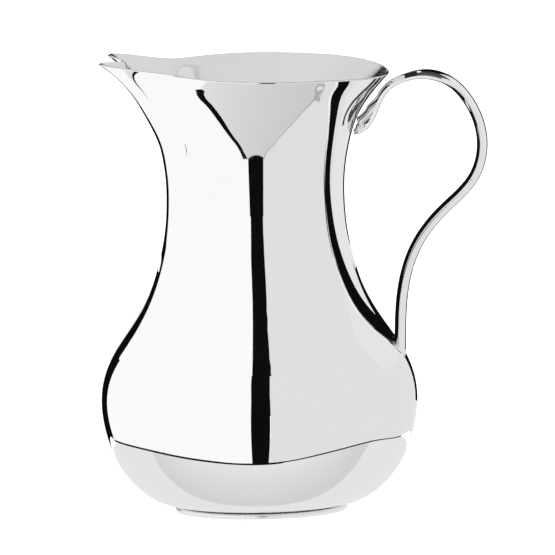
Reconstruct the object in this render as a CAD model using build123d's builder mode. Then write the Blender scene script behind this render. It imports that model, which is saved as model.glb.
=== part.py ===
from build123d import *
import math
import os

# Silver water pitcher. Millimetres, +Z up, pouring lip towards -X, handle
# towards +X. The origin is the centre of the foot ring's flat underside.

# ---------------------------------------------------------------- dimensions
wall = 1.0                  # sheet thickness of the body
belly_radius = 78.2
belly_height = 54.5         # widest point, where bowl and upper body meet
lap_height = 3.0            # locating lip of the bowl inside the upper body
waist_radius = 44.0
waist_height = 157.0        # narrowest point of the neck
mouth_top = 228.0           # height the mouth is raised to before trimming

foot_outer_radius = 42.5
foot_inner_radius = 37.5
foot_height = 3.2

# Bowl outline from the edge of the flat underside up to the belly (r, z).
bowl_curve = [
    (38.0, foot_height),
    (52.0, 6.2),
    (64.2, 15.7),
    (70.9, 25.2),
    (75.9, 38.5),
    (belly_radius, belly_height),
]

# Ogee shoulder from the belly up to the waist of the neck (r, z).
shoulder_curve = [
    (belly_radius, belly_height),
    (77.2, 64.5),
    (72.1, 78.0),
    (63.1, 92.0),
    (54.3, 107.0),
    (48.2, 124.0),
    (44.9, 141.0),
    (waist_radius, waist_height),
]

# Mouth sections: height, round radius, slope dr/dz, lip reach, side pinch.
mouth_sections = [
    (166.0, 44.3, 0.07, 0.0, 0.0),
    (174.0, 45.3, 0.16, 0.0, 0.0),
    (182.0, 46.9, 0.23, 0.1, 0.0),
    (190.0, 49.1, 0.35, 1.2, 0.3),
    (198.0, 52.7, 0.56, 1.9, 2.5),
    (206.0, 58.1, 0.80, 1.5, 6.9),
    (214.0, 65.0, 0.90, 0.8, 12.7),
    (221.0, 71.8, 1.10, 1.0, 18.2),
    (mouth_top, 81.0, 1.50, 2.0, 23.1),
]
full_pinch = mouth_sections[-1][4]
pinch_angle = math.radians(140.0)        # where the lip is drawn in, from +X
pinch_spread_front = math.radians(15.4)
pinch_spread_back = math.radians(39.7)
lip_sharpness = 11.5
lip_flattening = 15.0                    # draws the lip's middle back between its corners
lip_flat_spread = math.radians(11.5)
lip_corner = 5.6                         # fullness of the lip's two corners
lip_corner_angle = math.radians(19.4)
lip_corner_spread = math.radians(9.0)
section_points = 60

# Rim line in side view (x, z): it rises towards the lip and dips at the handle.
rim_line = [
    (-90.0, 225.6),
    (-68.0, 224.2),
    (-50.0, 222.0),
    (-32.0, 221.2),
    (-5.0, 220.5),
    (25.0, 219.8),
    (50.0, 218.9),
    (68.0, 217.0),
    (90.0, 213.0),
]

# Seam line of the handle from the tongue on the neck, over the arch, down to
# the shoulder (x, z).
handle_line = [
    (49.8, 187.0),
    (54.0, 188.9),
    (57.6, 193.3),
    (62.0, 203.2),
    (67.3, 210.4),
    (75.0, 214.4),
    (85.0, 216.1),
    (96.8, 212.9),
    (107.5, 201.5),
    (113.1, 183.2),
    (108.8, 165.2),
    (93.6, 149.0),
    (79.5, 131.0),
    (72.2, 107.5),
    (70.8, 90.0),
    (70.4, 76.0),
]
# Handle section along that line: share of length, outer rise, inner rise,
# half width.
handle_sizes = [
    (0.0, 1.8, 0.8, 3.0),
    (0.016, 4.2, 1.2, 5.6),
    (0.035, 6.2, 1.5, 7.4),
    (0.072, 4.4, 1.8, 8.2),
    (0.105, 2.0, 1.8, 8.0),
    (0.17, 1.9, 2.0, 7.6),
    (0.25, 2.5, 2.6, 7.2),
    (0.5, 2.6, 2.7, 7.0),
    (1.0, 2.8, 2.9, 6.2),
]
seam_film = 0.06            # solder film between the two handle halves


# ------------------------------------------------------------------- helpers
def inset(curve, distance):
    """Move a (r, z) curve towards the inside of the vessel by its normal."""
    moved = []
    last = len(curve) - 1
    for i, (r, z) in enumerate(curve):
        r0, z0 = curve[max(i - 1, 0)]
        r1, z1 = curve[min(i + 1, last)]
        run, rise = r1 - r0, z1 - z0
        length = math.hypot(run, rise)
        moved.append((r - distance * rise / length, z + distance * run / length))
    return moved


def mouth_outline(section, thickness):
    """Closed outline of the mouth at one height, inset by the thickness."""
    z, radius, slope, lip, pinch = section
    horizontal = thickness * math.hypot(1.0, slope)
    outline = []
    for i in range(section_points):
        angle = 2.0 * math.pi * i / section_points
        off_axis = min(angle, 2.0 * math.pi - angle)
        reach = lip * ((1.0 - math.cos(angle)) / 2.0) ** lip_sharpness
        spread = pinch_spread_front if off_axis > pinch_angle else pinch_spread_back
        waisting = pinch * math.exp(-((off_axis - pinch_angle) / spread) ** 2)
        from_lip = math.pi - off_axis
        flat = lip_flattening * math.exp(-(from_lip / lip_flat_spread) ** 2)
        corner = lip_corner * math.exp(-((from_lip - lip_corner_angle) / lip_corner_spread) ** 2)
        square = (corner - flat) * (pinch / full_pinch) ** 2
        r = radius + reach - waisting + square - horizontal
        outline.append((r * math.cos(angle), r * math.sin(angle)))
    return outline


def raise_mouth(thickness, mode):
    """Loft the neck and mouth from the waist to above the rim."""
    with BuildSketch(Plane.XY.offset(waist_height)) as waist:
        Circle(waist_radius - thickness)
    outlines = [waist.sketch.face()]
    for section in mouth_sections:
        with BuildSketch(Plane.XY.offset(section[0])) as outline:
            with BuildLine():
                Spline(*mouth_outline(section, thickness), periodic=True)
            make_face()
        outlines.append(outline.sketch.face())
    loft(outlines, mode=mode)


def trim_rim():
    """Cut everything above the rim line away."""
    with BuildSketch(Plane.XZ) as above_rim:
        with BuildLine():
            Spline(*rim_line)
            Polyline(rim_line[-1], (90.0, 240.0), (-90.0, 240.0), rim_line[0])
        make_face()
    extrude(above_rim.sketch, amount=100.0, both=True, mode=Mode.SUBTRACT)


def handle_size(share):
    """Outer rise, inner rise and half width at a share of the handle's length."""
    for before, after in zip(handle_sizes, handle_sizes[1:]):
        if share <= after[0]:
            step = (share - before[0]) / (after[0] - before[0])
            ease = step * step * (3.0 - 2.0 * step)
            return [p + (q - p) * ease for p, q in zip(before[1:], after[1:])]
    return handle_sizes[-1][1:]


def loft_handle(path, side):
    """Loft one half of the pointed-oval handle; side is +1 outer, -1 inner."""
    shares = [0.0, 0.012, 0.025, 0.045, 0.07, 0.095, 0.12, 0.145, 0.17, 0.2, 0.23]
    shares += [0.23 + 0.77 * i / 20 for i in range(1, 21)]
    outlines = []
    seam = side * seam_film / 2.0
    for share in shares:
        outer, inner, half = handle_size(share)
        rise = outer if side > 0 else -inner
        across = Plane(origin=path @ share, x_dir=(0.0, 1.0, 0.0), z_dir=path % share)
        with BuildSketch(across) as outline:
            with BuildLine():
                ThreePointArc((half, seam), (0.0, rise), (-half, seam))
                Line((-half, seam), (half, seam))
            make_face()
        outlines.append(outline.sketch.face())
    loft(outlines)


# ---------------------------------------------------------------- upper body
shoulder_inside = inset(shoulder_curve, wall)
shoulder_inside[0] = (belly_radius - wall, belly_height)
shoulder_inside[-1] = (waist_radius - wall, waist_height)

with BuildPart() as upper_body:
    with BuildSketch(Plane.XZ):
        with BuildLine():
            Spline(*shoulder_curve, tangents=[(0, 1), (0, 1)])
            Line(shoulder_curve[-1], shoulder_inside[-1])
            Spline(*shoulder_inside, tangents=[(0, 1), (0, 1)])
            Line(shoulder_inside[0], shoulder_curve[0])
        make_face()
    revolve(axis=Axis.Z)
    raise_mouth(0.0, Mode.ADD)
    raise_mouth(wall, Mode.SUBTRACT)
    trim_rim()
    # Rebate for the bowl's locating lip.
    with BuildSketch(Plane.XY.offset(belly_height)):
        Circle(belly_radius - wall / 2.0)
    extrude(amount=lap_height, mode=Mode.SUBTRACT)
upper_body.part.label = "upper_body"

# ---------------------------------------------------------------- lower bowl
bowl_inside = inset(bowl_curve, wall)
bowl_inside[0] = (38.0, foot_height + wall)
bowl_inside[-1] = (belly_radius - wall, belly_height)

with BuildPart() as lower_bowl:
    with BuildSketch(Plane.XZ):
        with BuildLine():
            Line((0.0, foot_height), bowl_curve[0])
            Spline(*bowl_curve, tangents=[(1, 0), (0, 1)])
            Line(bowl_curve[-1], bowl_inside[-1])
            Spline(*bowl_inside, tangents=[(1, 0), (0, 1)])
            Line(bowl_inside[0], (0.0, foot_height + wall))
            Line((0.0, foot_height + wall), (0.0, foot_height))
        make_face()
    revolve(axis=Axis.Z)
    # Locating lip that slips inside the upper body.
    with BuildSketch(Plane.XY.offset(belly_height)):
        Circle(belly_radius - wall / 2.0)
        Circle(belly_radius - wall, mode=Mode.SUBTRACT)
    extrude(amount=lap_height)
lower_bowl.part.label = "lower_bowl"

# ----------------------------------------------------------------- foot ring
with BuildPart() as foot_ring:
    with BuildSketch():
        Circle(foot_outer_radius)
        Circle(foot_inner_radius, mode=Mode.SUBTRACT)
    extrude(amount=foot_height + 0.6)
    fillet(foot_ring.edges().filter_by(GeomType.CIRCLE).group_by(Axis.Z)[0], 0.6)
    # The top is turned to sit on the bowl.
    with BuildSketch(Plane.XZ):
        with BuildLine():
            Polyline((0.0, 10.0), (0.0, foot_height), bowl_curve[0])
            Spline(*bowl_curve, tangents=[(1, 0), (0, 1)])
            Polyline(bowl_curve[-1], (0.0, belly_height), (0.0, 10.0))
        make_face()
    revolve(axis=Axis.Z, mode=Mode.SUBTRACT)
foot_ring.part.label = "foot_ring"

# -------------------------------------------------------------------- handle
# Solid envelope of the body, used to fit the handle roots to its surface.
with BuildPart() as envelope:
    with BuildSketch(Plane.XZ):
        with BuildLine():
            Spline(*shoulder_curve, tangents=[(0, 1), (0, 1)])
            Polyline(shoulder_curve[-1], (0.0, waist_height), (0.0, belly_height), shoulder_curve[0])
        make_face()
    revolve(axis=Axis.Z)
    raise_mouth(0.0, Mode.ADD)

with BuildLine(Plane.XZ) as handle_path:
    Spline(*handle_line)
seam_edge = handle_path.edges()[0]

with BuildPart() as handle_outer_half:
    loft_handle(seam_edge, 1)
    add(envelope.part, mode=Mode.SUBTRACT)
handle_outer_half.part.label = "handle_outer_half"

with BuildPart() as handle_inner_half:
    loft_handle(seam_edge, -1)
    add(envelope.part, mode=Mode.SUBTRACT)
handle_inner_half.part.label = "handle_inner_half"

# -------------------------------------------------------------------- export
os.makedirs("parts", exist_ok=True)
export_step(upper_body.part, "parts/upper_body.step")
export_step(lower_bowl.part, "parts/lower_bowl.step")
export_step(foot_ring.part, "parts/foot_ring.step")
export_step(handle_outer_half.part, "parts/handle_outer_half.step")
export_step(handle_inner_half.part, "parts/handle_inner_half.step")

for piece in (upper_body, lower_bowl, foot_ring, handle_outer_half, handle_inner_half):
    box = piece.part.bounding_box()
    volumes = [round(solid.volume, 1) for solid in piece.part.solids()]
    print(piece.part.label, volumes, piece.part.is_valid, box.min, box.max)
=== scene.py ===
import math

import bpy
import numpy as np
from mathutils import Matrix, Vector


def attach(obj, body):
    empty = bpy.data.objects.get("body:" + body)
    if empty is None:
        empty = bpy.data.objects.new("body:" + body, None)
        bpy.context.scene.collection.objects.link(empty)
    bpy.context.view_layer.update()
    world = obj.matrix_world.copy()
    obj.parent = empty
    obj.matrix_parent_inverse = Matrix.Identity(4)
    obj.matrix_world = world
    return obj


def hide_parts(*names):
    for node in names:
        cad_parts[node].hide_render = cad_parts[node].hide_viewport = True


# Silver water pitcher, in metres, in the CAD frame: +Z up, the pouring lip
# towards -X, the handle towards +X, the foot ring standing on z = 0.

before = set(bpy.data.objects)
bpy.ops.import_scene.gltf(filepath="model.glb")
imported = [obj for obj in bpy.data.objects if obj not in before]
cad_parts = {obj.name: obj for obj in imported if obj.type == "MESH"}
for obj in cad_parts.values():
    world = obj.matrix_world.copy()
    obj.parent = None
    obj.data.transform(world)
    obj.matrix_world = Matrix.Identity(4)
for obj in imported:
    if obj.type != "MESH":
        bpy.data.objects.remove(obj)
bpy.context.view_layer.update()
MM = 0.001


# ------------------------------------------------------------ smooth curves
def cubic_spline(places, values, start=None):
    """Cubic spline through values at places; natural ends unless a start slope is given."""
    t = np.asarray(places, float)
    y = np.asarray(values, float)
    if y.ndim == 1:
        y = y[:, None]
    n = len(t)
    h = np.diff(t)
    matrix = np.zeros((n, n))
    right = np.zeros((n, y.shape[1]))
    for i in range(1, n - 1):
        matrix[i, i - 1:i + 2] = h[i - 1], 2.0 * (h[i - 1] + h[i]), h[i]
        right[i] = 6.0 * ((y[i + 1] - y[i]) / h[i] - (y[i] - y[i - 1]) / h[i - 1])
    matrix[0, 0] = matrix[-1, -1] = 1.0
    if start is not None:
        matrix[0, :2] = 2.0 * h[0], h[0]
        right[0] = 6.0 * ((y[1] - y[0]) / h[0] - np.asarray(start, float))
    curve = np.linalg.solve(matrix, right)

    def at(x):
        x = np.asarray(x, float)
        k = np.clip(np.searchsorted(t, x, side="right") - 1, 0, n - 2)
        step = h[k][..., None]
        a = (t[k + 1] - x)[..., None] / step
        b = 1.0 - a
        bend = ((a ** 3 - a) * curve[k] + (b ** 3 - b) * curve[k + 1]) * step ** 2 / 6.0
        return a * y[k] + b * y[k + 1] + bend

    return at


def chord_lengths(points):
    steps = np.hypot(*np.diff(np.asarray(points, float), axis=0).T)
    return np.concatenate([[0.0], np.cumsum(steps)])


# ------------------------------------------------------------- body surface
# lengths in mm
WALL = 1.0
# radius and height, from the bowl's bottom edge to the waist
BODY_PROFILE = [
    (38.0, 3.2), (52.0, 6.2), (64.2, 15.7), (70.9, 25.2), (75.9, 38.5), (78.2, 54.5),
    (77.2, 64.5), (72.1, 78.0), (63.1, 92.0), (54.3, 107.0), (48.2, 124.0), (44.9, 141.0),
    (44.0, 157.0),
]
BELLY_ROW = 5
WAIST_ROW = 12
# height, round radius, lip reach, side pinch
MOUTH = [
    (157.0, 44.0, 0.0, 0.0), (166.0, 44.3, 0.0, 0.0), (174.0, 45.3, 0.0, 0.0), (182.0, 46.9, 0.1, 0.0),
    (190.0, 49.1, 1.2, 0.3), (198.0, 52.7, 1.9, 2.5), (206.0, 58.1, 1.5, 6.9), (214.0, 65.0, 0.8, 12.7),
    (221.0, 71.8, 1.0, 18.2), (228.0, 81.0, 2.0, 23.1),
]
PINCH_ANGLE = math.radians(140.0)
PINCH_FRONT = math.radians(15.4)
PINCH_BACK = math.radians(39.7)
LIP_SHARPNESS = 11.5
LIP_FLATTENING = 15.0
LIP_FLAT_SPREAD = math.radians(11.5)
LIP_CORNER = 5.6
LIP_CORNER_ANGLE = math.radians(19.4)
LIP_CORNER_SPREAD = math.radians(9.0)
# the rim's height along X
RIM_LINE = [
    (-90.0, 225.6), (-68.0, 224.2), (-50.0, 222.0), (-32.0, 221.2), (-5.0, 220.5), (25.0, 219.8),
    (50.0, 218.9), (68.0, 217.0), (90.0, 213.0),
]
RIM_END = 89.0
SMALL_STEP = 0.02
MEAN_RADIUS = 60.0
AROUND = 288
BODY_ROWS = 170
BOWL_ROWS = 70
RIM_BENDS = 9
# rings across the bowl's flat floor, as shares of its radius
FLOOR_SHARES = (0.02, 0.3, 0.6, 0.85)

profile_points = BODY_PROFILE + [(r, z) for z, r, lip, pinch in MOUTH[1:]]
profile_lengths = chord_lengths(profile_points)
profile = cubic_spline(profile_lengths, profile_points, start=(1.0, 0.0))
lip_reach = cubic_spline([row[0] for row in MOUTH], [row[2] for row in MOUTH], start=(0.0,))
side_pinch = cubic_spline([row[0] for row in MOUTH], [row[3] for row in MOUTH], start=(0.0,))
rim_height = cubic_spline([x for x, z in RIM_LINE], [z for x, z in RIM_LINE])
belly_length = profile_lengths[BELLY_ROW]
waist_length = profile_lengths[WAIST_ROW]
top_length = profile_lengths[-1]


def body_point(length, angle):
    """Outer surface of the body, mm, at a profile length and an angle from +X."""
    rz = profile(length)
    r, z = rz[..., 0], rz[..., 1]
    off_axis = np.abs((angle + math.pi) % (2.0 * math.pi) - math.pi)
    spread = np.where(off_axis > PINCH_ANGLE, PINCH_FRONT, PINCH_BACK)
    high = np.clip(z, MOUTH[0][0], MOUTH[-1][0])
    reach = lip_reach(high)[..., 0] * ((1.0 - np.cos(angle)) / 2.0) ** LIP_SHARPNESS
    pinch = side_pinch(high)[..., 0]
    waisting = pinch * np.exp(-((off_axis - PINCH_ANGLE) / spread) ** 2)
    from_lip = math.pi - off_axis
    flat = LIP_FLATTENING * np.exp(-(from_lip / LIP_FLAT_SPREAD) ** 2)
    corner = LIP_CORNER * np.exp(-((from_lip - LIP_CORNER_ANGLE) / LIP_CORNER_SPREAD) ** 2)
    r = r + reach - waisting + (corner - flat) * (pinch / MOUTH[-1][3]) ** 2
    return np.stack([r * np.cos(angle), r * np.sin(angle), z], -1)


def rim_length(angle):
    """Profile length at which the surface meets the rim line, for each angle."""
    low = np.full(angle.shape, waist_length)
    high = np.full(angle.shape, top_length)
    for _ in range(40):
        middle = (low + high) / 2.0
        p = body_point(middle, angle)
        above = p[..., 2] > rim_height(np.clip(p[..., 0], -RIM_END, RIM_END))[..., 0]
        high = np.where(above, middle, high)
        low = np.where(above, low, middle)
    return (low + high) / 2.0


def body_normal(length, angle):
    """Outward unit normal of the body's outer surface."""
    along = body_point(length + SMALL_STEP, angle) - body_point(length - SMALL_STEP, angle)
    turn = SMALL_STEP / MEAN_RADIUS
    around = body_point(length, angle + turn) - body_point(length, angle - turn)
    n = np.cross(around, along)
    return n / np.linalg.norm(n, axis=-1, keepdims=True)


# ---------------------------------------------------------------- mesh help
def smooth_object(name, points, faces, normals=None):
    """Mesh object from points in mm, smooth shaded; the build later attaches it to the one body."""
    mesh = bpy.data.meshes.new(name)
    mesh.from_pydata((np.asarray(points) * MM).tolist(), [], [tuple(f) for f in faces])
    mesh.validate()
    mesh.update()
    mesh.polygons.foreach_set("use_smooth", [True] * len(mesh.polygons))
    if normals is not None:
        mesh.normals_split_custom_set_from_vertices(np.asarray(normals).tolist())
    obj = bpy.data.objects.new(name, mesh)
    bpy.context.scene.collection.objects.link(obj)
    return obj


def grid_faces(rows, columns, closed=True, first=0):
    """Quads of a grid whose columns wrap round when closed."""
    faces = []
    last = columns if closed else columns - 1
    for i in range(rows - 1):
        for j in range(last):
            k = (j + 1) % columns
            faces.append((first + i * columns + j, first + i * columns + k,
                          first + (i + 1) * columns + k, first + (i + 1) * columns + j))
    return faces


def closed_grid(name, grid, normals, capped=False):
    """Watertight skin of a grid: its end rows are capped, or else joined to each other."""
    rows, columns = grid.shape[:2]
    points = grid.reshape(-1, 3)
    faces = grid_faces(rows, columns)
    last = (rows - 1) * columns
    if capped:
        faces.append(tuple(range(columns))[::-1])
        faces.append(tuple(range(last, last + columns)))
    else:
        for j in range(columns):
            k = (j + 1) % columns
            faces.append((last + j, last + k, k, j))
    return smooth_object(name, points, faces, normals.reshape(-1, 3))


# -------------------------------------------------------------------- body
angles = np.linspace(0.0, 2.0 * math.pi, AROUND, endpoint=False)
# the rounded edge fills the last RIM_ROUNDING of sheet below the rim line
RIM_ROUNDING = 1.3
rim_at = rim_length(angles) - RIM_ROUNDING


def upper_rows(count):
    """Profile lengths from the belly to the rim: rows by angles."""
    shoulder = np.linspace(belly_length, waist_length, count // 2, endpoint=False)
    lower = np.repeat(shoulder[:, None], AROUND, axis=1)
    share = np.linspace(0.0, 1.0, count - count // 2)[:, None]
    upper = waist_length + (rim_at[None] - waist_length) * share
    return np.concatenate([lower, upper])


def shell(lengths, rounded=True):
    """Outer sheet, its top edge when rounded, and the inner sheet as one run of rows."""
    turn = np.broadcast_to(angles, lengths.shape)
    outer = body_point(lengths, turn)
    normal = body_normal(lengths, turn)
    inner = outer - normal * WALL
    points = [outer]
    normals = [normal]
    edge_n = normal[-1]
    edge_up = np.cross(edge_n, np.cross(np.array([0.0, 0.0, 1.0]), edge_n))
    edge_up /= np.linalg.norm(edge_up, axis=-1, keepdims=True)
    centre = outer[-1] - edge_n * WALL / 2.0
    if rounded:
        for bend in np.linspace(0.0, math.pi, RIM_BENDS + 2)[1:-1]:
            way = edge_n * math.cos(bend) + edge_up * math.sin(bend)
            points.append((centre + way * WALL / 2.0)[None])
            normals.append(way[None])
    points.append(inner[::-1])
    normals.append(-normal[::-1])
    return np.concatenate(points), np.concatenate(normals)


def make_upper_body():
    points, normals = shell(upper_rows(BODY_ROWS))
    return closed_grid("upper_body_silver", points, normals)


def make_lower_bowl():
    lengths = np.repeat(np.linspace(0.0, belly_length, BOWL_ROWS)[:, None], AROUND, axis=1)
    points, normals = shell(lengths, rounded=False)
    centre_out = np.zeros((1, AROUND, 3))
    centre_out[..., 2] = BODY_PROFILE[0][1]
    centre_in = centre_out + np.array([0.0, 0.0, WALL])
    down = np.broadcast_to(np.array([0.0, 0.0, -1.0]), centre_out.shape)
    shares = np.array(FLOOR_SHARES)[:, None, None]
    start = points[:1]
    floor_out = centre_out + (start - centre_out) * shares
    end = points[-1:]
    floor_in = centre_in + (end - centre_in) * shares[::-1]
    points = np.concatenate([floor_out, points, floor_in])
    rings = len(FLOOR_SHARES)
    normals = np.concatenate([np.repeat(down, rings, 0), normals, np.repeat(-down, rings, 0)])
    return closed_grid("lower_bowl_silver", points, normals, capped=True)


# -------------------------------------------------------------------- foot
FOOT_R = 42.5
FOOT_IN = 37.5
FOOT_TOP = 3.45
FOOT_LOW_ROUND = 0.7
FOOT_HIGH_ROUND = 1.4
FOOT_HIGH_CENTRE = 1.5
FOOT_LEDGE = 2.0


def lathe(name, outline):
    """Closed ring from an (r, z) outline."""
    outline = np.asarray(outline, float)
    grid = np.stack([
        outline[:, :1] * np.cos(angles)[None],
        outline[:, :1] * np.sin(angles)[None],
        np.repeat(outline[:, 1:], AROUND, axis=1),
    ], -1)
    last = (len(outline) - 1) * AROUND
    faces = grid_faces(len(outline), AROUND)
    for j in range(AROUND):
        k = (j + 1) % AROUND
        faces.append((last + j, last + k, k, j))
    return smooth_object(name, grid.reshape(-1, 3), faces)


def quarter(centre_r, centre_z, radius, start):
    """Points of a quarter round in the outline, from a start angle."""
    bends = np.linspace(start, start + math.pi / 2.0, 9)
    return [(centre_r + radius * math.cos(bend), centre_z + radius * math.sin(bend)) for bend in bends]


def make_foot():
    outline = [(FOOT_IN, 0.0)]
    outline += quarter(FOOT_R - FOOT_LOW_ROUND, FOOT_LOW_ROUND, FOOT_LOW_ROUND, -math.pi / 2.0)
    outline += quarter(FOOT_R - FOOT_HIGH_ROUND, FOOT_HIGH_CENTRE, FOOT_HIGH_ROUND, 0.0)
    outline.append((FOOT_R - FOOT_LEDGE, FOOT_TOP - 0.1))
    outline.append((FOOT_IN, FOOT_TOP - 0.2))
    return lathe("foot_ring_silver", outline)


# ------------------------------------------------------------------ handle
# seam line between the two halves, X and Z, from the tongue's tip to the shoulder
HANDLE_LINE = [
    (49.8, 187.0),
    (54.0, 188.9),
    (57.6, 193.3),
    (62.0, 203.2),
    (67.3, 210.4),
    (75.0, 214.4),
    (85.0, 216.1),
    (96.8, 212.9),
    (107.5, 201.5),
    (113.1, 183.2),
    (108.8, 165.2),
    (93.6, 149.0),
    (79.5, 131.0),
    (72.2, 107.5),
    (70.8, 90.0),
    (70.4, 76.0),
]
# share of length, outer rise, inner rise, half width
HANDLE_SIZES = [
    (0.0, 1.8, 0.8, 3.0),
    (0.016, 4.2, 1.2, 5.6),
    (0.035, 6.2, 1.5, 7.4),
    (0.072, 4.4, 1.8, 8.2),
    (0.105, 2.0, 1.8, 8.0),
    (0.17, 1.9, 2.0, 7.6),
    (0.25, 2.5, 2.6, 7.2),
    (0.5, 2.6, 2.7, 7.0),
    (1.0, 2.8, 2.9, 6.2),
]
HANDLE_ROWS = 220
HANDLE_ACROSS = 25
TANGENT_STEP = 0.05
# how far under the body's skin the handle's ends sit
SEATED = 0.4
SKIN_STEPS = 900

handle_lengths = chord_lengths(HANDLE_LINE)
handle_curve = cubic_spline(handle_lengths, HANDLE_LINE)
# radius and height of the body's outer skin before the mouth is pinched
skin = profile(np.linspace(belly_length, top_length, SKIN_STEPS))


def handle_size(share):
    """Outer rise, inner rise and half width at a share of the handle's length."""
    rows = np.array(HANDLE_SIZES)
    k = np.clip(np.searchsorted(rows[:, 0], share, side="right") - 1, 0, len(rows) - 2)
    step = (share - rows[k, 0]) / (rows[k + 1, 0] - rows[k, 0])
    ease = step * step * (3.0 - 2.0 * step)
    return rows[k, 1:] + (rows[k + 1, 1:] - rows[k, 1:]) * ease[:, None]


def seat_on_body(grid):
    """Move points that would enter the body out to just under its outer skin."""
    order = np.argsort(skin[:, 1])
    radius = np.interp(grid[..., 2], skin[order, 1], skin[order, 0]) - SEATED
    current = np.hypot(grid[..., 0], grid[..., 1])
    scale = np.where(current < radius, radius / current, 1.0)
    seated = grid.copy()
    seated[..., 0] *= scale
    seated[..., 1] *= scale
    return seated


def make_handle_half(name, side):
    """One half of the pointed-oval handle: a crowned strip with a flat seam face."""
    shares = np.linspace(0.0, 1.0, HANDLE_ROWS)
    middle = handle_curve(shares * handle_lengths[-1])
    ahead = np.clip(shares * handle_lengths[-1] + TANGENT_STEP, 0, handle_lengths[-1])
    behind = np.clip(shares * handle_lengths[-1] - TANGENT_STEP, 0, handle_lengths[-1])
    tangent = handle_curve(ahead) - handle_curve(behind)
    tangent /= np.linalg.norm(tangent, axis=1, keepdims=True)
    outward = np.stack([-tangent[:, 1], tangent[:, 0]], 1)
    sizes = handle_size(shares)
    across = np.linspace(-1.0, 1.0, HANDLE_ACROSS)
    grid = []
    for i in range(HANDLE_ROWS):
        rise = sizes[i, 0] if side > 0 else sizes[i, 1]
        half = sizes[i, 2]
        radius = (half * half + rise * rise) / (2.0 * rise)
        spread = math.asin(min(1.0, half / radius))
        if rise > half:
            spread = math.pi - spread
        y = radius * np.sin(across * spread)
        lift = side * (radius * np.cos(across * spread) - (radius - rise))
        x = middle[i, 0] + outward[i, 0] * lift
        z = middle[i, 1] + outward[i, 1] * lift
        grid.append(np.stack([x, y, z], 1))
    grid = seat_on_body(np.array(grid))
    faces = grid_faces(HANDLE_ROWS, HANDLE_ACROSS, closed=False)
    if side < 0:
        faces = [f[::-1] for f in faces]
    first = HANDLE_ROWS * HANDLE_ACROSS
    points = np.concatenate([grid.reshape(-1, 3), grid[:, 0], grid[:, -1]])
    for i in range(HANDLE_ROWS - 1):
        a, b = first + i, first + i + 1
        c, d = first + HANDLE_ROWS + i + 1, first + HANDLE_ROWS + i
        faces.append((a, b, c, d) if side > 0 else (d, c, b, a))
    start_cap = tuple(range(HANDLE_ACROSS))
    faces.append(start_cap if side < 0 else start_cap[::-1])
    start = (HANDLE_ROWS - 1) * HANDLE_ACROSS
    end_cap = tuple(range(start, start + HANDLE_ACROSS))
    faces.append(end_cap if side > 0 else end_cap[::-1])
    return smooth_object(name, points, faces)


# --------------------------------------------------------------- materials
HAZE_DETAIL = 4.0
HAZE_TONE = 0.985
RIPPLE_SCALE = 14.0
RIPPLE_DEPTH = 0.002


def silver(name, tint, roughness, haze_scale, bump):
    """Polished silver: mirror finish with faint polishing haze and slight ripples."""
    material = bpy.data.materials.new(name)
    material.use_nodes = True
    nodes = material.node_tree.nodes
    links = material.node_tree.links
    shader = nodes["Principled BSDF"]
    shader.inputs["Metallic"].default_value = 1.0
    place = nodes.new("ShaderNodeTexCoord")
    haze = nodes.new("ShaderNodeTexNoise")
    haze.inputs["Scale"].default_value = haze_scale
    haze.inputs["Detail"].default_value = HAZE_DETAIL
    links.new(place.outputs["Object"], haze.inputs["Vector"])
    tone = nodes.new("ShaderNodeMix")
    tone.data_type = "RGBA"
    tone.inputs["A"].default_value = (*[c * HAZE_TONE for c in tint], 1.0)
    tone.inputs["B"].default_value = (*tint, 1.0)
    links.new(haze.outputs["Fac"], tone.inputs["Factor"])
    links.new(tone.outputs["Result"], shader.inputs["Base Color"])
    spread = nodes.new("ShaderNodeMapRange")
    spread.inputs["From Min"].default_value = 0.3
    spread.inputs["From Max"].default_value = 0.7
    spread.inputs["To Min"].default_value = roughness * 0.6
    spread.inputs["To Max"].default_value = roughness * 1.4
    links.new(haze.outputs["Fac"], spread.inputs["Value"])
    links.new(spread.outputs["Result"], shader.inputs["Roughness"])
    wave = nodes.new("ShaderNodeTexNoise")
    wave.inputs["Scale"].default_value = RIPPLE_SCALE
    wave.inputs["Detail"].default_value = 1.0
    links.new(place.outputs["Object"], wave.inputs["Vector"])
    ripple = nodes.new("ShaderNodeBump")
    ripple.inputs["Strength"].default_value = bump
    ripple.inputs["Distance"].default_value = RIPPLE_DEPTH
    links.new(wave.outputs["Fac"], ripple.inputs["Height"])
    links.new(ripple.outputs["Normal"], shader.inputs["Normal"])
    return material


def glow(name, strength, one_sided=False):
    """Plain light of one strength; one-sided paint is clear from its back."""
    material = bpy.data.materials.new(name)
    material.use_nodes = True
    nodes = material.node_tree.nodes
    links = material.node_tree.links
    nodes.clear()
    out = nodes.new("ShaderNodeOutputMaterial")
    light = nodes.new("ShaderNodeEmission")
    light.inputs["Strength"].default_value = strength
    if not one_sided:
        links.new(light.outputs["Emission"], out.inputs["Surface"])
        return material
    side = nodes.new("ShaderNodeNewGeometry")
    clear = nodes.new("ShaderNodeBsdfTransparent")
    mix = nodes.new("ShaderNodeMixShader")
    links.new(side.outputs["Backfacing"], mix.inputs["Fac"])
    links.new(light.outputs["Emission"], mix.inputs[1])
    links.new(clear.outputs["BSDF"], mix.inputs[2])
    links.new(mix.outputs["Shader"], out.inputs["Surface"])
    return material


# ------------------------------------------------------------------ camera
CAMERA_AZIMUTH = math.radians(6.0)
CAMERA_ELEVATION = math.radians(6.8)
CAMERA_ROLL = math.radians(1.12)
# far enough for a nearly parallel view
CAMERA_DISTANCE = 12.0
SENSOR = 36.0
FRAME_WIDTH = 0.27473
LENS = SENSOR * CAMERA_DISTANCE / FRAME_WIDTH
TARGET_ACROSS = 0.0101
TARGET_UP = 0.1145

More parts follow.
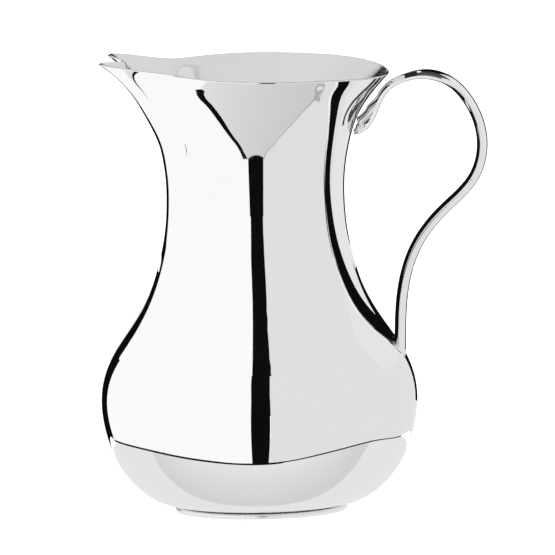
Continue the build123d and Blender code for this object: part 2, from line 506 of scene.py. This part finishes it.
right = Vector((math.cos(CAMERA_AZIMUTH), math.sin(CAMERA_AZIMUTH), 0.0))
back = Vector((
    math.sin(CAMERA_AZIMUTH) * math.cos(CAMERA_ELEVATION),
    -math.cos(CAMERA_AZIMUTH) * math.cos(CAMERA_ELEVATION),
    math.sin(CAMERA_ELEVATION),
))
up = back.cross(right)
toward_camera = Vector((math.sin(CAMERA_AZIMUTH), -math.cos(CAMERA_AZIMUTH), 0.0))


def make_camera():
    target = right * TARGET_ACROSS + up * TARGET_UP
    turned_right = right * math.cos(CAMERA_ROLL) - up * math.sin(CAMERA_ROLL)
    turned_up = up * math.cos(CAMERA_ROLL) + right * math.sin(CAMERA_ROLL)
    data = bpy.data.cameras.new("camera")
    data.lens = LENS
    data.sensor_width = SENSOR
    data.clip_end = 200.0
    camera = bpy.data.objects.new("camera", data)
    bpy.context.scene.collection.objects.link(camera)
    rotation = Matrix((turned_right, turned_up, back)).transposed().to_4x4()
    camera.matrix_world = Matrix.Translation(target + back * CAMERA_DISTANCE) @ rotation
    bpy.context.scene.camera = camera


# ------------------------------------------------------------------- studio
# Metres. The silver is a mirror, so most of its tones come from these pieces.
def stage_mesh(name, points, faces, material, mirror_only=True):
    """Studio piece; mirror_only pieces are seen in reflections and nowhere else."""
    mesh = bpy.data.meshes.new(name)
    mesh.from_pydata(points, [], faces)
    mesh.update()
    mesh.polygons.foreach_set("use_smooth", [True] * len(mesh.polygons))
    obj = bpy.data.objects.new(name, mesh)
    bpy.context.scene.collection.objects.link(obj)
    obj.data.materials.append(material)
    if mirror_only:
        obj.visible_camera = False
        obj.visible_diffuse = False
        obj.visible_shadow = False
        obj.visible_transmission = False
        obj.visible_volume_scatter = False
    return obj


def around(angle, radius, height):
    """Point at an angle from the camera's direction, positive to the picture's right."""
    flat = right * math.sin(angle) + toward_camera * math.cos(angle)
    return tuple(flat * radius + Vector((0.0, 0.0, height)))


def wall(name, start, end, radius, low, high, material):
    """Upright curved panel between two angles in degrees."""
    count = max(2, int(abs(end - start) / 3.0) + 2)
    points = []
    for i in range(count):
        angle = math.radians(start + (end - start) * i / (count - 1))
        points.append(around(angle, radius, low))
        points.append(around(angle, radius, high))
    faces = [(2 * i, 2 * i + 2, 2 * i + 3, 2 * i + 1) for i in range(count - 1)]
    return stage_mesh(name, points, faces, material)


WALL_RADIUS = 0.9
WALL_FOOT = -0.01
WALL_TOP = 2.2
GAP_RADIUS = WALL_RADIUS * 0.988
DARK_RADIUS = WALL_RADIUS * 0.98
TOP_RADIUS = WALL_RADIUS * 1.02
# name, start and end in degrees from the camera's direction, lowest height, paint
WALLS = [
    ("panel_left", 1.5, -145.7, WALL_FOOT, "left"),
    ("gap_left", -145.7, -173.2, WALL_FOOT, "black"),
    ("panel_back", -173.2, -180.0, WALL_FOOT, "left"),
    ("gap_back", -180.0, -208.0, WALL_FOOT, "black"),
    ("panel_back_right", -208.0, -250.0, WALL_FOOT, "back"),
    ("panel_right", 1.5, 110.0, WALL_FOOT, "right"),
]
BACK_DARK = ("back_dark", -120.0, -240.0, 1.2, "dark")
# height and the two edges, in degrees, of the dark gap between the front panels
FRONT_GAP = [
    (-0.01, -6.5, 9.0), (0.19, -6.4, 8.8), (0.40, -6.8, 9.5), (0.54, -6.2, 10.2), (0.78, -5.8, 10.8),
    (0.97, -6.1, 11.0), (1.18, -6.4, 12.2), (1.40, -6.8, 12.3), (1.60, -7.3, 13.5), (WALL_TOP, -7.3, 13.5),
]
GAP_ACROSS = 6

# the lines below run across the picture and towards the camera
FENCE_TOP = 0.105
FENCE_LEFT = [(-0.006, 0.1037), (-0.052, 0.096), (-0.120, 0.047), (-0.150, -0.059), (-0.148, -0.098)]
FENCE_CORNER = [(-0.148, -0.098), (-0.142, -0.145), (-0.100, -0.158)]
FENCE_BACK = [(-0.100, -0.158), (0.0, -0.161), (0.079, -0.162), (0.135, -0.158)]
FENCE_RIGHT = [
    (0.009, 0.1040), (0.067, 0.097), (0.137, 0.039), (0.152, -0.059), (0.150, -0.120), (0.135, -0.158),
]
FENCE_LINE = [(0.079, -0.159), (0.134, -0.154)]
FENCE_LINE_FOOT = 0.032
# left edge, right edge and height of the dark gap in the fence's front
FENCE_GAP = [
    (-0.0080, 0.0078, 0.0), (-0.0074, 0.0085, 0.040), (-0.0068, 0.0085, 0.070),
    (-0.0072, 0.0096, 0.090), (-0.0071, 0.0107, FENCE_TOP),
]
FENCE_GAP_TOWARD = 0.1030

STAND_TOP = 0.0004
STAND_IN = 0.0400
STAND_OUT = 0.165
# black line of painted shade along the stand's edge, at the foot of the fence: its height and widths
EDGE_TOP = 0.0009
EDGE_WIDE_LEFT = 0.0032
EDGE_WIDE_RIGHT = 0.0022
EDGE_SPLIT = 0.02
EDGE_RADIUS = 0.1
# painted shade on the stand in front of the foot, darker towards the foot, seen only in reflections
SHADE_TOP = 0.0006
SHADE_BACK = [
    (-0.120, 0.0445), (-0.068, 0.0453), (-0.034, 0.048), (-0.002, 0.052), (0.033, 0.050), (0.088, 0.0506),
    (0.137, 0.0425),
]
SHADE_FRONT = [(-0.120, 0.047), (-0.052, 0.096), (0.009, 0.1040), (0.067, 0.097), (0.137, 0.039)]

SHEET = 0.120
SHEET_IN = 0.052
TABLE_IN = 0.051
TABLE_LIFT = 0.0004
LINE_LIFT = 0.0006
SHEET_CELLS = 60
SHEET_SECTORS = [
    ("sheet_front", 9.4, -7.2, "black_down"),
    ("sheet_left", -7.2, -145.7, "left_down"),
    ("sheet_line", -145.7, -173.2, "black_down"),
    ("sheet_behind", -173.2, -180.0, "left_down"),
    ("sheet_line_right", -180.0, -208.0, "black_down"),
    ("sheet_back", -208.0, -250.0, "back_down"),
    ("sheet_right", 110.0, 9.4, "right_down"),
]
# left edge of the table, the outer edge of its dark line of painted shade, and the table's right edge
TABLE_LEFT = [
    (-0.019, 0.145), (-0.029, 0.1396), (-0.050, 0.116), (-0.0716, 0.0913), (-0.098, 0.0635), (-0.132, 0.038),
    (-0.146, 0.028),
]
LINE_LEFT = [
    (-0.032, 0.143), (-0.0387, 0.1375), (-0.061, 0.114), (-0.089, 0.0886), (-0.119, 0.057), (-0.1635, 0.020),
    (-0.174, 0.0115),
]
TABLE_RIGHT = [
    (0.024, 0.144), (0.048, 0.128), (0.058, 0.096), (0.064, 0.068), (0.068, 0.046), (0.073, 0.031),
    (0.081, 0.023),
]
LINE_RIGHT_SHIFT = (0.0016, 0.0006)

LID = 0.2285
LID_SCALES = (1.04, 1.18)

# cards beside the handle: shares of its length, and mm from its surface or its middle plane
HUG_START = 0.24
HUG_FULL = 0.45
HUG_END = 0.985
CARD_OFF = 0.6
CARD_BACK = 4.0
CARD_NEAR_IN = -5.0
CARD_NEAR_OUT = -0.8
CARD_BEHIND = 8.6
CARD_REACH = 7.0
CARD_REACH_LEAST = 2.8
CARD_REACH_STEP = 0.3
CARD_REACH_OUT = 6.0
CARD_CLEAR = 1.5
TONGUE_CARDS = [(1.0, 3.0), (6.0, 9.0), (13.0, 18.0)]
TONGUE_CARD_OFF = 14.0


def flat_point(across, toward, height):
    """Point from distances across the picture and towards the camera."""
    p = right * across + toward_camera * toward
    return (p.x, p.y, height)


def lay_level(name, points, faces, material):
    """Level sheet with every face turned upwards."""
    upward = []
    for face in faces:
        a, b, c = (Vector(points[v]) for v in face[:3])
        upward.append(face if (b - a).cross(c - b).z > 0.0 else face[::-1])
    return stage_mesh(name, points, upward, material)


def strip_faces(count):
    """Quads between two lines of count points, one line after the other."""
    return [(i, i + 1, count + i + 1, count + i) for i in range(count - 1)]


def strip(name, low_line, high_line, material):
    """Strip between two lines of (across, toward, height) points."""
    points = [flat_point(*p) for p in low_line] + [flat_point(*p) for p in high_line]
    stage_mesh(name, points, strip_faces(len(low_line)), material)


def smooth_line(points, count=40):
    """Evenly spaced points on a smooth line through the given ones."""
    lengths = chord_lengths(points)
    return [tuple(p) for p in cubic_spline(lengths, points)(np.linspace(0.0, lengths[-1], count))]


def even_line(points, count):
    """Evenly spaced points along straight runs between the given ones."""
    lengths = chord_lengths(points)
    places = np.linspace(0.0, lengths[-1], count)
    columns = [np.interp(places, lengths, [p[axis] for p in points]).tolist() for axis in (0, 1)]
    return list(zip(*columns))


def fence(name, line, material):
    """Upright panel along a line, from the floor to the fence's top."""
    strip(name, [(*p, 0.0) for p in line], [(*p, FENCE_TOP) for p in line], material)


def make_fence():
    """Low panels standing round the stand's edge."""
    fence("fence_left", smooth_line(FENCE_LEFT), paints["left"])
    fence("fence_corner", smooth_line(FENCE_CORNER), paints["black"])
    fence("fence_back", smooth_line(FENCE_BACK), paints["back"])
    fence("fence_right", smooth_line(FENCE_RIGHT), paints["right"])
    strip("fence_line", [(*p, FENCE_LINE_FOOT) for p in FENCE_LINE], [(*p, FENCE_TOP) for p in FENCE_LINE],
          paints["black"])
    strip("fence_gap", [(gap_left, FENCE_GAP_TOWARD, z) for gap_left, gap_right, z in FENCE_GAP],
          [(gap_right, FENCE_GAP_TOWARD, z) for gap_left, gap_right, z in FENCE_GAP], paints["black"])


def make_front_gap():
    """Dark upright card between the two front panels."""
    points = []
    for height, gap_left, gap_right in FRONT_GAP:
        for turn in np.linspace(math.radians(gap_left), math.radians(gap_right), GAP_ACROSS):
            points.append(around(float(turn), GAP_RADIUS, height))
    stage_mesh("front_gap", points, grid_faces(len(FRONT_GAP), GAP_ACROSS, closed=False), paints["black"])


def make_stand():
    """Bright stand top; its dark edge line and the soft grey patch in front of the foot are painted shade."""
    turns = [math.radians(a) for a in range(0, 361, 6)]
    rings = [[(radius * math.sin(a), radius * math.cos(a), STAND_TOP) for a in turns]
             for radius in (STAND_IN, STAND_OUT)]
    strip("stand_top", *rings, paints["stand"])
    # the stand's edge runs along the fence's foot, where the black line of painted shade lies
    edge = smooth_line(FENCE_LEFT[::-1] + FENCE_RIGHT[:4], 90)
    inner = []
    for x, y in edge:
        wide = EDGE_WIDE_LEFT if x < EDGE_SPLIT else EDGE_WIDE_RIGHT
        scale = 1.0 - wide / EDGE_RADIUS
        inner.append((x * scale, y * scale, EDGE_TOP))
    strip("stand_edge_shade", [(*p, EDGE_TOP) for p in edge], inner, paints["black"])
    strip("stand_shade", [(*p, SHADE_TOP) for p in smooth_line(SHADE_BACK)],
          [(*p, SHADE_TOP) for p in smooth_line(SHADE_FRONT)], paints["shade"])


def sheet_sector(name, start, end, material):
    """Part of the flat ring round the neck, between two angles in degrees."""
    count = max(3, int(abs(end - start) / 4.0) + 2)
    turns = [math.radians(start + (end - start) * i / (count - 1)) for i in range(count)]
    inner = [around(a, SHEET_IN, SHEET) for a in turns]
    outer = [around(a, WALL_RADIUS, SHEET) for a in turns]
    faces = [(i, count + i, count + i + 1, i + 1) for i in range(count - 1)]
    lay_level(name, inner + outer, faces, material)


def make_sheet():
    """Level sheet under the flare: white left, grey right, and the table's near part."""
    for name, start, end, key in SHEET_SECTORS:
        sheet_sector(name, start, end, paints[key])
    left_edge = even_line(TABLE_LEFT, SHEET_CELLS)
    left_outer = even_line(LINE_LEFT, SHEET_CELLS)
    right_edge = even_line(TABLE_RIGHT, SHEET_CELLS)
    right_outer = [(x + LINE_RIGHT_SHIFT[0], y + LINE_RIGHT_SHIFT[1]) for x, y in right_edge]
    columns = SHEET_CELLS + 1
    points = []
    for a, b in zip(left_edge, right_edge):
        for k in range(columns):
            across, toward = (p + (q - p) * k / SHEET_CELLS for p, q in zip(a, b))
            points.append(flat_point(across, toward, SHEET + TABLE_LIFT))
    clear_of_neck = [face for face in grid_faces(SHEET_CELLS, columns, closed=False)
                     if min(math.hypot(points[v][0], points[v][1]) for v in face) > TABLE_IN]
    # the table's near part is painted darker towards the picture's right: painted shade
    lay_level("table_near", points, clear_of_neck, paints["table"])
    # dark lines of painted shade along the table's two edges, where the side panels stand
    for name, one, other, key in (("table_shade_line_left", left_edge, left_outer, "black_down"),
                                  ("table_shade_line_right", right_edge, right_outer, "edge_down")):
        points = [flat_point(*p, SHEET + LINE_LIFT) for p in one + other]
        lay_level(name, points, strip_faces(SHEET_CELLS), paints[key])


def make_lid():
    """Grey card just over the mouth with a dark border past the rim."""
    rim = body_point(rim_at, angles) * MM
    rings = [[(x * k, y * k, LID) for x, y, z in rim] for k in LID_SCALES]
    steps = [(i, (i + 1) % AROUND) for i in range(AROUND)]
    fan = [(0, 1 + b, 1 + a) for a, b in steps]
    stage_mesh("lid", [(0.0, 0.0, LID)] + rings[0], fan, paints["lid"])
    border = [(a, b, AROUND + b, AROUND + a) for a, b in steps]
    stage_mesh("lid_border", rings[0] + rings[1], border, paints["lid_border"])


def beside_handle(shares):
    """Points of the handle's seam line and their outward directions, X and Z."""
    middle = handle_curve(shares * handle_lengths[-1])
    slope = np.gradient(middle, axis=0)
    slope /= np.linalg.norm(slope, axis=1, keepdims=True)
    return middle, np.stack([-slope[:, 1], slope[:, 0]], 1)


def make_handle_cards():
    """Dark cards along the handle's inner, outer and far sides, mirrored as its dark lines."""
    shares = np.linspace(HUG_START, HUG_END, 120)
    middle, outward = beside_handle(shares)
    sizes = handle_size(shares)
    inner = middle - outward * (sizes[:, 1:2] + CARD_OFF)
    outer = middle + outward * (sizes[:, 0:1] + CARD_OFF)
    reach = np.full(len(shares), CARD_REACH)
    for i in range(len(shares)):
        while reach[i] > CARD_REACH_LEAST:
            x, z = middle[i] - outward[i] * reach[i]
            if math.hypot(x, CARD_BEHIND) > np.interp(z, skin[:, 1], skin[:, 0]) + CARD_CLEAR:
                break
            reach[i] -= CARD_REACH_STEP
    taper = np.interp(shares, (HUG_START, HUG_FULL), (0.3, 1.0))[:, None]
    reach = np.maximum(reach[:, None] * taper, sizes[:, 1:2])
    faces = strip_faces(len(shares))
    for name, line, near in (("handle_card_in", inner, CARD_NEAR_IN),
                             ("handle_card_out", outer, CARD_NEAR_OUT)):
        points = []
        for y in (near, CARD_BACK):
            points += [(x * MM, y * k * MM, z * MM) for (x, z), k in zip(line, taper[:, 0])]
        stage_mesh(name, points, faces, paints["black"])
    behind = (middle - outward * reach, middle + outward * CARD_REACH_OUT * taper)
    points = [(x * MM, CARD_BEHIND * MM, z * MM) for line in behind for x, z in line]
    stage_mesh("handle_card_behind", points, faces, paints["black"])


def make_tongue_cards():
    """Narrow dark cards beside the handle's upper tongue, mirrored as streaks along it."""
    shares = np.linspace(0.01, 0.15, 24)
    middle, outward = beside_handle(shares)
    for k, edges in enumerate(TONGUE_CARDS):
        points = []
        for reach in edges:
            points += [(x * MM, -TONGUE_CARD_OFF * MM, z * MM) for x, z in middle + outward * reach]
        stage_mesh(f"tongue_card_{k}", points, strip_faces(len(shares)), paints["dark"])


# strength of each plain paint: two-sided, seen from above only, seen from below only
PAINTS = {"left": 1.03, "right": 0.80, "back": 0.84, "black": 0.004, "top": 0.10, "stand": 0.83, "dark": 0.06}
# the sheet's edge paint is the grey line of painted shade along the table's right edge
SHEET_PAINTS = {"left": 1.02, "right": 0.79, "back": 0.84, "black": 0.004, "edge": 0.45}
LID_PAINTS = {"lid_border": 0.02, "lid": 0.70}
WORLD_STRENGTH = 1.12
FLOOR_GLOW = 0.45
FLOOR_HALF = 6.0
paints = {}


def graded_paint(name, axis, places, strengths, one_sided=False):
    """Grey whose strength runs evenly between two places along one axis."""
    material = glow(name, strengths[0], one_sided)
    nodes = material.node_tree.nodes
    links = material.node_tree.links
    place = nodes.new("ShaderNodeTexCoord")
    split = nodes.new("ShaderNodeSeparateXYZ")
    spread = nodes.new("ShaderNodeMapRange")
    spread.inputs["From Min"].default_value = places[0]
    spread.inputs["From Max"].default_value = places[1]
    spread.inputs["To Min"].default_value = strengths[0]
    spread.inputs["To Max"].default_value = strengths[1]
    links.new(place.outputs["Object"], split.inputs["Vector"])
    links.new(split.outputs[axis], spread.inputs["Value"])
    links.new(spread.outputs["Result"], nodes["Emission"].inputs["Strength"])
    return material


def make_floor():
    """Plain pale floor, the one stage piece that the camera sees."""
    paint = bpy.data.materials.new("floor_paint")
    paint.use_nodes = True
    shader = paint.node_tree.nodes["Principled BSDF"]
    shader.inputs["Base Color"].default_value = (0.93, 0.93, 0.93, 1.0)
    shader.inputs["Roughness"].default_value = 1.0
    shader.inputs["Specular IOR Level"].default_value = 0.0
    shader.inputs["Emission Color"].default_value = (1.0, 1.0, 1.0, 1.0)
    shader.inputs["Emission Strength"].default_value = FLOOR_GLOW
    corners = [(x * FLOOR_HALF, y * FLOOR_HALF, 0.0) for x, y in ((-1, -1), (1, -1), (1, 1), (-1, 1))]
    stage_mesh("floor", corners, [(0, 1, 2, 3)], paint, mirror_only=False)


def make_paints():
    """Paints of the stage pieces."""
    for key, strength in PAINTS.items():
        paints[key] = glow(key + "_paint", strength)
    for key, strength in SHEET_PAINTS.items():
        paints[key + "_down"] = glow(key + "_sheet_paint", strength, True)
    for key, strength in LID_PAINTS.items():
        paints[key] = glow(key + "_paint", strength, True)
    # painted shade on the stand, darker towards the foot
    paints["shade"] = graded_paint("stand_shade_paint", "Y", (-0.105, -0.050), (0.86, 0.68))
    # painted shade on the table's near part, darker towards the picture's right
    paints["table"] = graded_paint("table_paint", "X", (-0.120, 0.090), (0.80, 0.62), one_sided=True)


def make_studio():
    """Floor, pale panels with dark gaps, and the small cards near the pitcher."""
    make_floor()
    make_paints()
    make_front_gap()
    for name, start, end, low, key in WALLS:
        wall(name, start, end, WALL_RADIUS, low, WALL_TOP, paints[key])
    name, start, end, low, key = BACK_DARK
    wall(name, start, end, DARK_RADIUS, low, WALL_TOP, paints[key])
    top = [around(math.radians(a), TOP_RADIUS, WALL_TOP) for a in range(0, 360, 5)]
    stage_mesh("top_panel", top, [tuple(range(len(top)))], paints["top"])
    make_fence()
    make_stand()
    make_sheet()
    make_handle_cards()
    make_tongue_cards()
    make_lid()

    world = bpy.data.worlds.new("studio")
    world.use_nodes = True
    light = world.node_tree.nodes["Background"]
    light.inputs["Color"].default_value = (1.0, 1.0, 1.0, 1.0)
    light.inputs["Strength"].default_value = WORLD_STRENGTH
    bpy.context.scene.world = world
    bpy.context.scene.view_settings.view_transform = "Standard"
    bpy.context.scene.view_settings.look = "None"


# -------------------------------------------------------------------- build
SILVER_TINT = (0.93, 0.93, 0.925)
FOOT_TINT = (0.92, 0.92, 0.915)
body_finish = silver("body_silver_finish", SILVER_TINT, roughness=0.022, haze_scale=60.0, bump=0.003)
bowl_finish = silver("bowl_silver_finish", SILVER_TINT, roughness=0.022, haze_scale=60.0, bump=0.003)
foot_finish = silver("foot_silver_finish", FOOT_TINT, roughness=0.28, haze_scale=120.0, bump=0.0)
handle_finish = silver("handle_silver_finish", SILVER_TINT, roughness=0.06, haze_scale=90.0, bump=0.02)
inside_finish = silver("inside_silver_finish", SILVER_TINT, roughness=0.16, haze_scale=60.0, bump=0.003)

pieces = [
    (make_upper_body(), "upper_body", "body_silver", body_finish),
    (make_lower_bowl(), "lower_bowl", "bowl_silver", bowl_finish),
    (make_foot(), "foot_ring", "foot_silver", foot_finish),
    (make_handle_half("handle_outer_silver", 1), "handle_outer_half", "handle_silver", handle_finish),
    (make_handle_half("handle_inner_silver", -1), "handle_inner_half", "handle_silver", handle_finish),
]
for piece, node, slot_name, finish in pieces:
    piece.data.materials.append(finish)
    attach(piece, "root")
    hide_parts(node)

# the inside of the upper body is less brightly polished
upper_mesh = pieces[0][0].data
upper_mesh.materials.append(inside_finish)
for face in upper_mesh.polygons:
    if min(face.vertices) >= (BODY_ROWS + RIM_BENDS) * AROUND:
        face.material_index = 1

make_camera()
make_studio()
